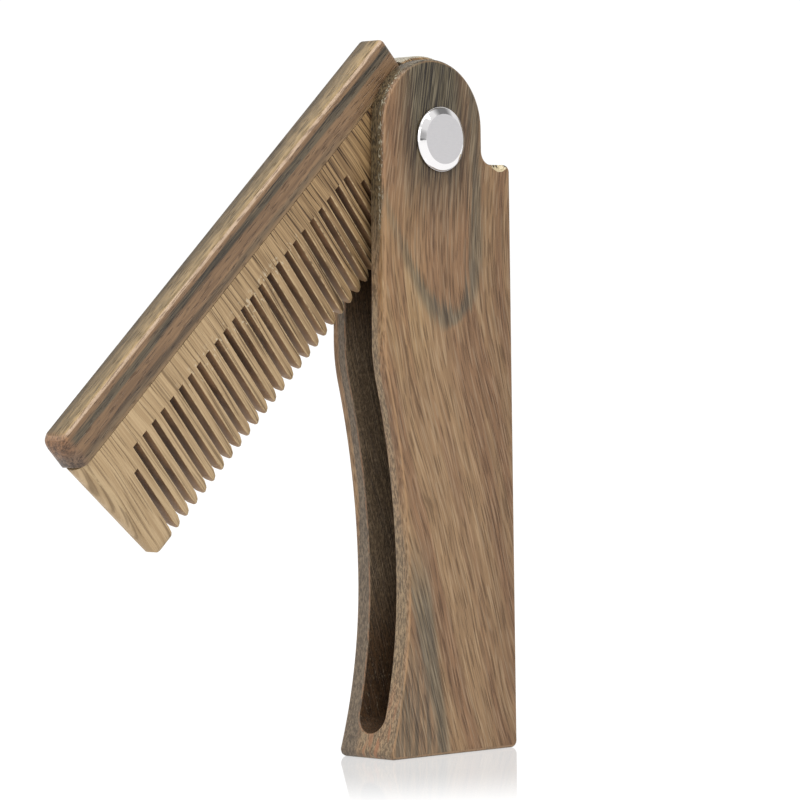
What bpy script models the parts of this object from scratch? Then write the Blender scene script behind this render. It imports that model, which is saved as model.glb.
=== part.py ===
"""Folding pocket comb of wood: a slotted handle, a comb that swings out of it, and one rivet.

Metres, +Z up. The comb stands on the handle's lower end. The origin is on that end face,
under the rivet's axis, halfway between the two wide faces. +X is the handle's straight side.
The comb has a frame of its own on the rivet's axis: its x runs to the free end, its z to the
tips of the teeth.
"""

import math

import bmesh
import bpy

MM = 0.001

# Handle, in millimetres
PIVOT_HEIGHT = 97.4
HANDLE_THICKNESS = 12.2
HANDLE_RIGHT = 15.7
EDGE_ROUND = 0.7
LEFT_CORNER_RADIUS = 1.1
RIGHT_CORNER_RADIUS = 1.1

# Rounded tab over the rivet, and the shoulder beside it
TAB_RADIUS = 10.8
TAB_CENTRE_X = -1.3
TAB_CENTRE_RISE = 1.8
TAB_RIGHT = 9.5
SHOULDER_DROP = 3.8
SHOULDER_FILLET = 2.2
SHOULDER_CORNER_RADIUS = 1.2

# Grip side: a lower and an upper hollow that meet at the waist, then a knee
WAIST_X = -8.0
WAIST_HEIGHT = 28.0
LOWER_HOLLOW_RADIUS = 86.0
UPPER_HOLLOW_RADIUS = 130.0
UPPER_HOLLOW_END = 59.0
KNEE_RADIUS = 28.0

# Slot that the comb folds into
SLOT_WIDTH = 6.0
SLOT_FLOOR_X = 9.6
SLOT_BOTTOM = 3.9
SWING_RADIUS = 13.85

# Comb, measured from the rivet's axis
OPEN_ANGLE = math.radians(47.0)
COMB_THICKNESS = 5.4
SPINE_BACK = -17.7
SPINE_END = 86.0
SPINE_START = -4.5
SPINE_ROUND = 1.0
SPINE_END_ROUND = 2.3
JOINT_Z = -11.6
GLUE_GAP = 0.3
PLATE_END = 85.7
PLATE_END_TIP = 83.6
PLATE_END_ROUND = 2.6
END_CORNER = 2.0
TANG_CENTRE_X = -1.6
TANG_CENTRE_Z = -2.0
TANG_RADIUS = 10.8
TANG_FRONT = 8.4
TANG_FRONT_END = 7.0
RIM_ROUND = 0.8

# Teeth
SLOT_COUNT = 27
TOOTH_PITCH = 2.464
TOOTH_GAP = 1.0
FIRST_GAP_X = 77.85
GAP_TOP = -7.3
SHORT_GAP_TOP = -4.2
TIP_Z = 8.9
TIP_START = 7.2
TIP_FLARE = 0.45
GUARD_FLARE = 0.1
TIP_THICKNESS = 2.3
NEAR_GUARD_X = 10.8

# Rivet
SHANK_RADIUS = 2.0
HOLE_RADIUS = 2.3
CAP_RADIUS = 5.1
CAP_FACE_RADIUS = 3.95
CAP_HEIGHT = 1.15
CAP_GAP = 0.3
ROUND_STEPS = 40

# Steps of the rounded edges, and how far cutters reach past what they cut
BEVEL_STEPS = 3
SPINE_STEPS = 8
CUT_MARGIN = 5.0


def clear_scene():
    for item in list(bpy.data.objects):
        bpy.data.objects.remove(item, do_unlink=True)


def wood(name, colour, roughness):
    return principled(name, colour, roughness, 0.0)


def principled(name, colour, roughness, metallic):
    material = bpy.data.materials.new(name)
    material.use_nodes = True
    shader = material.node_tree.nodes["Principled BSDF"]
    shader.inputs["Base Color"].default_value = (*colour, 1.0)
    shader.inputs["Roughness"].default_value = roughness
    shader.inputs["Metallic"].default_value = metallic
    material.diffuse_color = (*colour, 1.0)
    return material


def arc(centre_x, centre_z, radius, start_degrees, end_degrees, steps):
    """Points of an arc in the XZ plane, both ends included. Zero degrees is +X."""
    points = []
    for step in range(steps + 1):
        angle = math.radians(start_degrees + (end_degrees - start_degrees) * step / steps)
        points.append((centre_x + radius * math.cos(angle), centre_z + radius * math.sin(angle)))
    return points


def without_repeats(points):
    kept = []
    for point in points:
        if not kept or math.dist(point, kept[-1]) > 0.01:
            kept.append(point)
    if math.dist(kept[0], kept[-1]) < 0.01:
        kept.pop()
    return kept


def link(name, mesh_builder, material=None):
    mesh = bpy.data.meshes.new(name)
    mesh_builder.to_mesh(mesh)
    mesh_builder.free()
    item = bpy.data.objects.new(name, mesh)
    bpy.context.scene.collection.objects.link(item)
    if material:
        mesh.materials.append(material)
    return item


def add_prism(builder, outline, half_width):
    """Closes an XZ outline in millimetres into a slab from -half_width to +half_width in Y."""
    corners = [builder.verts.new((x * MM, -half_width * MM, z * MM)) for x, z in outline]
    face = builder.faces.new(corners)
    grown = bmesh.ops.extrude_face_region(builder, geom=[face])
    moved = [item for item in grown["geom"] if isinstance(item, bmesh.types.BMVert)]
    bmesh.ops.translate(builder, verts=moved, vec=(0.0, 2.0 * half_width * MM, 0.0))


def prism(name, outlines, half_width, material=None):
    builder = bmesh.new()
    for outline in outlines:
        add_prism(builder, outline, half_width)
    bmesh.ops.recalc_face_normals(builder, faces=builder.faces)
    return link(name, builder, material)


def lathe(name, profile, steps, material=None):
    """Turns a profile of (radius, y) points in millimetres round the Y axis."""
    builder = bmesh.new()
    verts = [builder.verts.new((radius * MM, y * MM, 0.0)) for radius, y in profile]
    edges = [builder.edges.new(pair) for pair in zip(verts, verts[1:])]
    bmesh.ops.spin(builder, geom=verts + edges, cent=(0, 0, 0), axis=(0, 1, 0),
                   angle=2 * math.pi, steps=steps, use_merge=True)
    bmesh.ops.remove_doubles(builder, verts=builder.verts, dist=1e-6)
    bmesh.ops.recalc_face_normals(builder, faces=builder.faces)
    return link(name, builder, material)


def weigh_edges(item, weight_of):
    """Writes a bevel weight on each edge, from its two end points in millimetres."""
    mesh = item.data
    weights = mesh.attributes.new("bevel_weight_edge", "FLOAT", "EDGE")
    for edge in mesh.edges:
        ends = [mesh.vertices[index].co / MM for index in edge.vertices]
        weights.data[edge.index].value = weight_of(*ends)


def round_edges(item, width, steps=BEVEL_STEPS):
    bevel = item.modifiers.new("Rounded edges", "BEVEL")
    bevel.limit_method = "WEIGHT"
    bevel.width = width * MM
    bevel.segments = steps
    bevel.use_clamp_overlap = False


def cut(item, cutter):
    cutter.hide_render = True
    cutter.display_type = "WIRE"
    cutter.parent = item.parent
    boolean = item.modifiers.new("Cut " + cutter.name, "BOOLEAN")
    boolean.operation = "DIFFERENCE"
    boolean.solver = "EXACT"
    boolean.object = cutter


def shade(item):
    item.data.shade_smooth()
    item.data.set_sharp_from_angle(angle=math.radians(30.0))


def grip_side():
    """The handle's left side from the lower end up to the tab: two hollows, a knee, a straight."""
    points = []
    drop = WAIST_HEIGHT - LEFT_CORNER_RADIUS
    base_angle = math.degrees(math.asin(drop / (LOWER_HOLLOW_RADIUS + LEFT_CORNER_RADIUS)))
    corner_x = WAIST_X - LOWER_HOLLOW_RADIUS
    corner_x += (LOWER_HOLLOW_RADIUS + LEFT_CORNER_RADIUS) * math.cos(math.radians(base_angle))
    points += arc(corner_x, LEFT_CORNER_RADIUS, LEFT_CORNER_RADIUS, 270, 180 - base_angle, 5)
    points += arc(WAIST_X - LOWER_HOLLOW_RADIUS, WAIST_HEIGHT, LOWER_HOLLOW_RADIUS, -base_angle, 0, 9)
    rise = math.degrees(math.asin((UPPER_HOLLOW_END - WAIST_HEIGHT) / UPPER_HOLLOW_RADIUS))
    points += arc(WAIST_X - UPPER_HOLLOW_RADIUS, WAIST_HEIGHT, UPPER_HOLLOW_RADIUS, 0, rise, 8)
    end_x, end_z = points[-1]
    centre_x = end_x + KNEE_RADIUS * math.cos(math.radians(rise))
    centre_z = end_z + KNEE_RADIUS * math.sin(math.radians(rise))
    points += arc(centre_x, centre_z, KNEE_RADIUS, 180 + rise, 180, 4)
    return points


def handle_outline():
    tab_z = PIVOT_HEIGHT + TAB_CENTRE_RISE
    shoulder_z = PIVOT_HEIGHT - SHOULDER_DROP
    points = grip_side()
    points += arc(TAB_CENTRE_X, tab_z, TAB_RADIUS, 180, 0, 28)
    points += arc(TAB_RIGHT + SHOULDER_FILLET, shoulder_z + SHOULDER_FILLET, SHOULDER_FILLET, 180, 270, 6)
    points += arc(HANDLE_RIGHT - SHOULDER_CORNER_RADIUS, shoulder_z - SHOULDER_CORNER_RADIUS,
                  SHOULDER_CORNER_RADIUS, 90, 0, 5)
    points += arc(HANDLE_RIGHT - RIGHT_CORNER_RADIUS, RIGHT_CORNER_RADIUS, RIGHT_CORNER_RADIUS, 0, -90, 5)
    return without_repeats(points)


def handle_edge_weight(start, end):
    """Rounds both wide faces all round."""
    return 1.0 if abs(start.y - end.y) < 0.1 else 0.0


def slot_channel():
    """The routed slot: a long channel with a round lower end, open towards the grip side."""
    half = SLOT_WIDTH / 2
    centre_z = SLOT_BOTTOM + half
    top_z = PIVOT_HEIGHT + TAB_RADIUS + 2 * CUT_MARGIN
    outline = arc(0, centre_z, half, 180, 360, 12) + [(half, top_z), (-half, top_z)]
    left_x = -HANDLE_RIGHT - 2 * CUT_MARGIN
    builder = bmesh.new()
    corners = [builder.verts.new((left_x * MM, y * MM, z * MM)) for y, z in outline]
    face = builder.faces.new(corners)
    grown = bmesh.ops.extrude_face_region(builder, geom=[face])
    moved = [item for item in grown["geom"] if isinstance(item, bmesh.types.BMVert)]
    bmesh.ops.translate(builder, verts=moved, vec=((SLOT_FLOOR_X - left_x) * MM, 0.0, 0.0))
    bmesh.ops.recalc_face_normals(builder, faces=builder.faces)
    return link("slot_channel", builder)


def make_handle(material):
    item = prism("handle", [handle_outline()], HANDLE_THICKNESS / 2, material)
    weigh_edges(item, handle_edge_weight)
    round_edges(item, EDGE_ROUND)
    cut(item, slot_channel())
    swing = prism("swing_room", [without_repeats(arc(0, 0, SWING_RADIUS, 0, 360, 48))], SLOT_WIDTH / 2)
    swing.location.z = PIVOT_HEIGHT * MM
    cut(item, swing)
    hole = prism("handle_hole", [without_repeats(arc(0, 0, HOLE_RADIUS, 0, 360, ROUND_STEPS))],
                 HANDLE_THICKNESS / 2 + CUT_MARGIN)
    hole.location.z = PIVOT_HEIGHT * MM
    cut(item, hole)
    shade(item)
    return item


def make_rivet(material):
    """One piece: the shank and a chamfered round cap on each side."""
    seat = HANDLE_THICKNESS / 2 + CAP_GAP
    face = HANDLE_THICKNESS / 2 + CAP_HEIGHT
    rim = face - (CAP_RADIUS - CAP_FACE_RADIUS) * 0.75
    side = [(SHANK_RADIUS, seat), (CAP_RADIUS, seat), (CAP_RADIUS, rim), (CAP_RADIUS - 0.2, rim + 0.3),
            (CAP_FACE_RADIUS, face), (0.0, face)]
    profile = [(radius, -y) for radius, y in reversed(side)] + side
    item = lathe("pivot_rivet", profile, ROUND_STEPS, material)
    item.location.z = PIVOT_HEIGHT * MM
    shade(item)
    return item


def comb_axis():
    """The empty on the rivet's axis that carries both parts of the comb."""
    axis = bpy.data.objects.new("comb_axis", None)
    bpy.context.scene.collection.objects.link(axis)
    axis.location.z = PIVOT_HEIGHT * MM
    axis.rotation_euler.y = math.pi / 2 + OPEN_ANGLE
    return axis


def spine_outline():
    lower = JOINT_Z - GLUE_GAP / 2
    return [(SPINE_START, lower), (SPINE_START, SPINE_BACK), (SPINE_END, SPINE_BACK), (SPINE_END, lower)]


def spine_edge_weight(start, end):
    """Rounds the back and both ends, the free end most, and leaves the glued face's sides sharp."""
    lower = JOINT_Z - GLUE_GAP / 2
    on_glue_face = min(start.z, end.z) > lower - 0.1
    on_free_end = min(start.x, end.x) > SPINE_END - 0.1
    if on_free_end:
        return SPINE_ROUND / SPINE_END_ROUND if on_glue_face else 1.0
    return 0.0 if on_glue_face else SPINE_ROUND / SPINE_END_ROUND


def make_spine(axis, material):
    item = prism("comb_spine", [spine_outline()], COMB_THICKNESS / 2, material)
    weigh_edges(item, spine_edge_weight)
    round_edges(item, SPINE_END_ROUND, SPINE_STEPS)
    item.parent = axis
    shade(item)
    return item


def plate_outline():
    """Tooth plate without its gaps: glued edge, round tang, tips, and a free end that leans in."""
    top = JOINT_Z + GLUE_GAP / 2
    pocket_x = SPINE_START - GLUE_GAP
    tang_start = math.degrees(math.acos((pocket_x - TANG_CENTRE_X) / TANG_RADIUS))
    tang_end = 180 + math.degrees(math.asin((TANG_FRONT - TANG_CENTRE_Z) / TANG_RADIUS))
    points = [(PLATE_END, top), (pocket_x, top)]
    points += arc(TANG_CENTRE_X, TANG_CENTRE_Z, TANG_RADIUS, -tang_start, -tang_end, 24)
    points += [(TANG_FRONT_END, TANG_FRONT), (NEAR_GUARD_X, TIP_Z), (PLATE_END_TIP, TIP_Z)]
    return without_repeats(points)


def corner_cutter():
    """Takes off the corner between the free end and the tips, in a small round."""
    lean = math.atan2(PLATE_END - PLATE_END_TIP, TIP_Z - JOINT_Z)
    centre_x = PLATE_END_TIP - END_CORNER * (1 - math.sin(lean)) / math.cos(lean)
    points = arc(centre_x, TIP_Z - END_CORNER, END_CORNER, 90, math.degrees(lean), 6)
    far_x = PLATE_END_TIP + CUT_MARGIN
    open_z = TIP_Z + CUT_MARGIN
    points += [(far_x, points[-1][1]), (far_x, open_z), (centre_x, open_z)]
    return prism("corner_cutter", [points], COMB_THICKNESS)


def plate_edge_weight(start, end):
    """Rounds the rim on both faces along the tang and, more, along the free end."""
    along_face = abs(start.y - end.y) < 0.1
    on_tang = all(math.hypot(point.x - TANG_CENTRE_X, point.z - TANG_CENTRE_Z) > TANG_RADIUS - 0.1
                  for point in (start, end))
    near_rivet = max(start.x, end.x) < TANG_FRONT_END + 0.1
    on_free_end = min(start.x, end.x) > FIRST_GAP_X + TOOTH_GAP + TIP_FLARE
    if along_face and on_free_end:
        return 1.0
    return RIM_ROUND / PLATE_END_ROUND if along_face and on_tang and near_rivet else 0.0


def tooth_gaps():
    """The gaps between the teeth, one prism each, flared at the tips to make these pointed."""
    outlines = []
    for index in range(SLOT_COUNT):
        left = FIRST_GAP_X - index * TOOTH_PITCH
        right = left + TOOTH_GAP
        end_gap = index in (0, SLOT_COUNT - 1)
        top = SHORT_GAP_TOP if end_gap else GAP_TOP
        open_z = TIP_Z + CUT_MARGIN
        right_flare = GUARD_FLARE if index == 0 else TIP_FLARE
        outlines.append([
            (left, top), (right, top), (right, TIP_START), (right + right_flare, TIP_Z),
            (right + right_flare, open_z), (left - TIP_FLARE, open_z), (left - TIP_FLARE, TIP_Z),
            (left, TIP_START),
        ])
    return prism("tooth_gaps", outlines, COMB_THICKNESS)


def taper_cutters():
    """Two wedges that thin the plate from the gaps' tops to rounded tips."""
    half = COMB_THICKNESS / 2
    tip_half = TIP_THICKNESS / 2
    outer = half + CUT_MARGIN
    near_x = NEAR_GUARD_X + 0.05
    far_x = SPINE_END + CUT_MARGIN
    section = [(outer, GAP_TOP), (half, GAP_TOP), (tip_half, TIP_START), (tip_half * 0.75, TIP_Z - 0.5),
               (tip_half * 0.3, TIP_Z + 0.1), (tip_half * 0.3, TIP_Z + CUT_MARGIN),
               (outer, TIP_Z + CUT_MARGIN)]
    builder = bmesh.new()
    for side in (-1, 1):
        corners = [builder.verts.new((near_x * MM, side * y * MM, z * MM)) for y, z in section]
        face = builder.faces.new(corners)
        grown = bmesh.ops.extrude_face_region(builder, geom=[face])
        moved = [item for item in grown["geom"] if isinstance(item, bmesh.types.BMVert)]
        bmesh.ops.translate(builder, verts=moved, vec=((far_x - near_x) * MM, 0.0, 0.0))
    bmesh.ops.recalc_face_normals(builder, faces=builder.faces)
    return link("tooth_taper", builder)


def make_tooth_plate(axis, material):
    item = prism("tooth_plate", [plate_outline()], COMB_THICKNESS / 2, material)
    weigh_edges(item, plate_edge_weight)
    round_edges(item, PLATE_END_ROUND)
    item.parent = axis
    cut(item, taper_cutters())
    cut(item, corner_cutter())
    cut(item, tooth_gaps())
    hole = prism("plate_hole", [without_repeats(arc(0, 0, HOLE_RADIUS, 0, 360, ROUND_STEPS))],
                 COMB_THICKNESS)
    cut(item, hole)
    shade(item)
    return item


def main():
    clear_scene()
    handle_wood = wood("handle wood", (0.27, 0.17, 0.10), 0.45)
    spine_wood = wood("spine wood", (0.22, 0.14, 0.07), 0.4)
    plate_wood = wood("tooth wood", (0.45, 0.33, 0.18), 0.5)
    steel = principled("rivet steel", (0.62, 0.61, 0.62), 0.25, 1.0)
    make_handle(handle_wood)
    make_rivet(steel)
    axis = comb_axis()
    make_spine(axis, spine_wood)
    make_tooth_plate(axis, plate_wood)


main()
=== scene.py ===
"""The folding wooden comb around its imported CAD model: finer meshes, wood and steel, a white stage.

Every length below is in millimetres in the CAD model's frame and becomes metres in the meshes.
The comb's own frame has its x towards the free end and its z towards the tips of the teeth.
"""

import math

import bmesh
import bpy
from mathutils import Matrix, Vector


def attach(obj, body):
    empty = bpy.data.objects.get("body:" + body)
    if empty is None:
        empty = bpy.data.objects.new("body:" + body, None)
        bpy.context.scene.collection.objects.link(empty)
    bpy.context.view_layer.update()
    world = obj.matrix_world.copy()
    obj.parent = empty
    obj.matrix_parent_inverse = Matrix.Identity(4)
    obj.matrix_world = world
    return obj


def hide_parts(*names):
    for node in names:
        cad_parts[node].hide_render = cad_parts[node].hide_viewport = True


MM = 0.001

# Shapes, the same values as the CAD source
PIVOT_HEIGHT = 97.4
HANDLE_THICKNESS = 12.2
HANDLE_RIGHT = 15.7
EDGE_ROUND = 0.7
LEFT_CORNER_RADIUS = 1.1
RIGHT_CORNER_RADIUS = 1.1
TAB_RADIUS = 10.8
TAB_CENTRE_X = -1.3
TAB_CENTRE_RISE = 1.8
TAB_RIGHT = 9.5
SHOULDER_DROP = 3.8
SHOULDER_FILLET = 2.2
SHOULDER_CORNER_RADIUS = 1.2
WAIST_X = -8.0
WAIST_HEIGHT = 28.0
LOWER_HOLLOW_RADIUS = 86.0
UPPER_HOLLOW_RADIUS = 130.0
UPPER_HOLLOW_END = 59.0
KNEE_RADIUS = 28.0
SLOT_WIDTH = 6.0
SLOT_FLOOR_X = 9.6
SLOT_BOTTOM = 3.9
SWING_RADIUS = 13.85
OPEN_ANGLE = math.radians(47.0)
COMB_THICKNESS = 5.4
SPINE_BACK = -17.7
SPINE_END = 86.0
SPINE_START = -4.5
SPINE_ROUND = 1.0
SPINE_END_ROUND = 2.3
JOINT_Z = -11.6
GLUE_GAP = 0.3
PLATE_END = 85.7
PLATE_END_TIP = 83.6
PLATE_END_ROUND = 2.6
END_CORNER = 2.0
TANG_CENTRE_X = -1.6
TANG_CENTRE_Z = -2.0
TANG_RADIUS = 10.8
TANG_FRONT = 8.4
TANG_FRONT_END = 7.0
RIM_ROUND = 0.8
SLOT_COUNT = 27
TOOTH_PITCH = 2.464
TOOTH_GAP = 1.0
FIRST_GAP_X = 77.85
GAP_TOP = -7.3
SHORT_GAP_TOP = -4.2
TIP_Z = 8.9
TIP_START = 7.2
TIP_FLARE = 0.45
GUARD_FLARE = 0.1
TIP_THICKNESS = 2.3
NEAR_GUARD_X = 10.8
SHANK_RADIUS = 2.0
HOLE_RADIUS = 2.3
CAP_RADIUS = 5.1
CAP_FACE_RADIUS = 3.95
CAP_HEIGHT = 1.15
CAP_GAP = 0.3

# Finish that only the visual meshes have
MOUTH_ROUND = 0.3
TOOTH_ROUND = 0.25
SEEN_GLUE_GAP = 0.08
SCOOP_CENTRE = (13.2, -6.6, 94.1)
SCOOP_RADII = (2.0, 1.7, 1.75)
CUT_MARGIN = 5.0

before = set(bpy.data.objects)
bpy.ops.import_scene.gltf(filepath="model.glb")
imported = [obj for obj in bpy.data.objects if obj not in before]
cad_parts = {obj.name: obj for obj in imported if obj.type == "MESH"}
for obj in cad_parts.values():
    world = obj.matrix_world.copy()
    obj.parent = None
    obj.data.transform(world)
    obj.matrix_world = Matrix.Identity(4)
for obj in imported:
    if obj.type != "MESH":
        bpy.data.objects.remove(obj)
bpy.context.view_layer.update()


def arc(centre_x, centre_z, radius, start_degrees, end_degrees, steps):
    points = []
    for step in range(steps + 1):
        angle = math.radians(start_degrees + (end_degrees - start_degrees) * step / steps)
        points.append((centre_x + radius * math.cos(angle), centre_z + radius * math.sin(angle)))
    return points


def without_repeats(points):
    kept = []
    for point in points:
        if not kept or math.dist(point, kept[-1]) > 0.01:
            kept.append(point)
    if math.dist(kept[0], kept[-1]) < 0.01:
        kept.pop()
    return kept


def link(name, builder):
    mesh = bpy.data.meshes.new(name)
    builder.to_mesh(mesh)
    builder.free()
    item = bpy.data.objects.new(name, mesh)
    bpy.context.scene.collection.objects.link(item)
    return item


def add_prism(builder, outline, half_width):
    corners = [builder.verts.new((x * MM, -half_width * MM, z * MM)) for x, z in outline]
    face = builder.faces.new(corners)
    grown = bmesh.ops.extrude_face_region(builder, geom=[face])
    moved = [item for item in grown["geom"] if isinstance(item, bmesh.types.BMVert)]
    bmesh.ops.translate(builder, verts=moved, vec=(0.0, 2.0 * half_width * MM, 0.0))


def prism(name, outlines, half_width):
    builder = bmesh.new()
    for outline in outlines:
        add_prism(builder, outline, half_width)
    bmesh.ops.recalc_face_normals(builder, faces=builder.faces)
    return link(name, builder)


def run_along_x(name, sections, start_x, end_x):
    """Slabs with a YZ section, from one x to another."""
    builder = bmesh.new()
    for section in sections:
        corners = [builder.verts.new((start_x * MM, y * MM, z * MM)) for y, z in section]
        face = builder.faces.new(corners)
        grown = bmesh.ops.extrude_face_region(builder, geom=[face])
        moved = [item for item in grown["geom"] if isinstance(item, bmesh.types.BMVert)]
        bmesh.ops.translate(builder, verts=moved, vec=((end_x - start_x) * MM, 0.0, 0.0))
    bmesh.ops.recalc_face_normals(builder, faces=builder.faces)
    return link(name, builder)


def lathe(name, profile, steps):
    builder = bmesh.new()
    verts = [builder.verts.new((radius * MM, y * MM, 0.0)) for radius, y in profile]
    edges = [builder.edges.new(pair) for pair in zip(verts, verts[1:])]
    bmesh.ops.spin(builder, geom=verts + edges, cent=(0, 0, 0), axis=(0, 1, 0),
                   angle=2 * math.pi, steps=steps, use_merge=True)
    bmesh.ops.remove_doubles(builder, verts=builder.verts, dist=1e-6)
    bmesh.ops.recalc_face_normals(builder, faces=builder.faces)
    return link(name, builder)


def round_edges(item, width, segments, weight_of):
    """Rounds each edge by width times its weight, which comes from its two ends in millimetres."""
    mesh = item.data
    weights = mesh.attributes.new("bevel_weight_edge", "FLOAT", "EDGE")
    for edge in mesh.edges:
        ends = [mesh.vertices[index].co / MM for index in edge.vertices]
        weights.data[edge.index].value = weight_of(*ends)
    bevel = item.modifiers.new("Rounded edges", "BEVEL")
    bevel.limit_method = "WEIGHT"
    bevel.width = width * MM
    bevel.segments = segments
    bevel.use_clamp_overlap = False


def cut(item, cutter):
    boolean = item.modifiers.new("Cut " + cutter.name, "BOOLEAN")
    boolean.operation = "DIFFERENCE"
    boolean.solver = "EXACT"
    boolean.object = cutter


def settle(item):
    """Applies the modifiers, and removes the cutters that they used."""
    cutters = [modifier.object for modifier in item.modifiers if modifier.type == "BOOLEAN"]
    bpy.context.view_layer.update()
    applied = bpy.data.meshes.new_from_object(item.evaluated_get(bpy.context.evaluated_depsgraph_get()))
    item.modifiers.clear()
    item.data = applied
    for cutter in cutters:
        bpy.data.objects.remove(cutter, do_unlink=True)
    return item


def round_cut_edges(item, width, segments, chosen):
    """Rounds the sharp edges that a cut has left, where chosen says so of an edge's two ends."""
    builder = bmesh.new()
    builder.from_mesh(item.data)
    bmesh.ops.remove_doubles(builder, verts=builder.verts, dist=1e-6)
    bmesh.ops.dissolve_degenerate(builder, edges=builder.edges, dist=2e-6)
    edges = []
    for edge in builder.edges:
        if len(edge.link_faces) == 2 and edge.calc_face_angle() > math.radians(40.0):
            if chosen(edge.verts[0].co / MM, edge.verts[1].co / MM):
                edges.append(edge)
    bmesh.ops.bevel(builder, geom=edges, offset=width * MM, offset_type="OFFSET", segments=segments,
                    profile=0.5, affect="EDGES", clamp_overlap=False, miter_outer="SHARP")
    builder.to_mesh(item.data)
    builder.free()
    return len(edges)


def paint_points(item, name, value_of):
    """Writes a value on each point, from its place in millimetres, for the materials to read."""
    layer = item.data.attributes.new(name, "FLOAT", "POINT")
    layer.data.foreach_set("value", [value_of(point.co / MM) for point in item.data.vertices])


def paint_faces(item, name, value_of):
    """Writes a value on each face, from its centre in millimetres and its normal."""
    layer = item.data.attributes.new(name, "FLOAT", "FACE")
    layer.data.foreach_set("value", [value_of(face.center / MM, face.normal) for face in item.data.polygons])


def shade(item, degrees=32.0):
    item.data.shade_smooth()
    item.data.set_sharp_from_angle(angle=math.radians(degrees))
    weighted = item.modifiers.new("Weighted normals", "WEIGHTED_NORMAL")
    weighted.keep_sharp = True
    weighted.weight = 100


def grip_side():
    points = []
    drop = WAIST_HEIGHT - LEFT_CORNER_RADIUS
    base_angle = math.degrees(math.asin(drop / (LOWER_HOLLOW_RADIUS + LEFT_CORNER_RADIUS)))
    corner_x = WAIST_X - LOWER_HOLLOW_RADIUS
    corner_x += (LOWER_HOLLOW_RADIUS + LEFT_CORNER_RADIUS) * math.cos(math.radians(base_angle))
    points += arc(corner_x, LEFT_CORNER_RADIUS, LEFT_CORNER_RADIUS, 270, 180 - base_angle, 10)
    points += arc(WAIST_X - LOWER_HOLLOW_RADIUS, WAIST_HEIGHT, LOWER_HOLLOW_RADIUS, -base_angle, 0, 24)
    rise = math.degrees(math.asin((UPPER_HOLLOW_END - WAIST_HEIGHT) / UPPER_HOLLOW_RADIUS))
    points += arc(WAIST_X - UPPER_HOLLOW_RADIUS, WAIST_HEIGHT, UPPER_HOLLOW_RADIUS, 0, rise, 24)
    end_x, end_z = points[-1]
    centre_x = end_x + KNEE_RADIUS * math.cos(math.radians(rise))
    centre_z = end_z + KNEE_RADIUS * math.sin(math.radians(rise))
    points += arc(centre_x, centre_z, KNEE_RADIUS, 180 + rise, 180, 12)
    return points


def handle_outline():
    tab_z = PIVOT_HEIGHT + TAB_CENTRE_RISE
    shoulder_z = PIVOT_HEIGHT - SHOULDER_DROP
    points = grip_side()
    points += arc(TAB_CENTRE_X, tab_z, TAB_RADIUS, 180, 0, 72)
    points += arc(TAB_RIGHT + SHOULDER_FILLET, shoulder_z + SHOULDER_FILLET, SHOULDER_FILLET, 180, 270, 16)
    points += arc(HANDLE_RIGHT - SHOULDER_CORNER_RADIUS, shoulder_z - SHOULDER_CORNER_RADIUS,
                  SHOULDER_CORNER_RADIUS, 90, 0, 8)
    points += arc(HANDLE_RIGHT - RIGHT_CORNER_RADIUS, RIGHT_CORNER_RADIUS, RIGHT_CORNER_RADIUS, 0, -90, 10)
    return without_repeats(points)


def handle_edge_weight(start, end):
    return 1.0 if abs(start.y - end.y) < 0.1 else 0.0


def slot_channel():
    half = SLOT_WIDTH / 2
    top_z = PIVOT_HEIGHT + TAB_RADIUS + 2 * CUT_MARGIN
    section = arc(0, SLOT_BOTTOM + half, half, 180, 360, 32) + [(half, top_z), (-half, top_z)]
    return run_along_x("slot_channel", [section], -HANDLE_RIGHT - 2 * CUT_MARGIN, SLOT_FLOOR_X)


def on_slot_mouth(start, end):
    """True for an edge that runs round the slot's mouth on the handle's narrow sides."""
    half = SLOT_WIDTH / 2 + 0.02
    if max(abs(start.y), abs(end.y)) > half:
        return False
    swing_start = math.hypot(start.x, start.z - PIVOT_HEIGHT)
    on_tab_hole = swing_start < HOLE_RADIUS + 0.2
    on_floor = min(start.x, end.x) > SLOT_FLOOR_X - 0.02 and max(start.z, end.z) < PIVOT_HEIGHT - SHOULDER_DROP - 0.1
    return not (on_tab_hole or on_floor or inside_slot(start) or inside_slot(end))


def inside_slot(point):
    """True for a point inside the handle's outline, such as where the slot's walls meet its floor."""
    shoulder = PIVOT_HEIGHT - SHOULDER_DROP
    if point.z < shoulder - 0.1:
        return point.x > 0.0
    return math.hypot(point.x - TAB_CENTRE_X, point.z - PIVOT_HEIGHT - TAB_CENTRE_RISE) < TAB_RADIUS - 0.6


def depth_inside(outline, x, z):
    """Distance in millimetres from a point to the nearest side of an outline."""
    nearest = 1e9
    for (ax, az), (bx, bz) in zip(outline, outline[1:] + outline[:1]):
        run_x, run_z = bx - ax, bz - az
        along = ((x - ax) * run_x + (z - az) * run_z) / (run_x * run_x + run_z * run_z)
        along = min(1.0, max(0.0, along))
        nearest = min(nearest, math.hypot(x - ax - along * run_x, z - az - along * run_z))
    return nearest


def scoop_cutter():
    """The hollow in the front edge of the shoulder, rubbed away where the opened comb has struck it."""
    builder = bmesh.new()
    bmesh.ops.create_uvsphere(builder, u_segments=48, v_segments=32, radius=MM)
    bmesh.ops.scale(builder, verts=builder.verts, vec=SCOOP_RADII)
    bmesh.ops.translate(builder, verts=builder.verts, vec=[value * MM for value in SCOOP_CENTRE])
    return link("scoop_cutter", builder)


def in_scoop(centre, normal):
    """1 on a face of the hollow in the shoulder's front edge."""
    away = [(value - middle) / radius for value, middle, radius in zip(centre, SCOOP_CENTRE, SCOOP_RADII)]
    return 1.0 if math.hypot(*away) < 1.03 else 0.0


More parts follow.
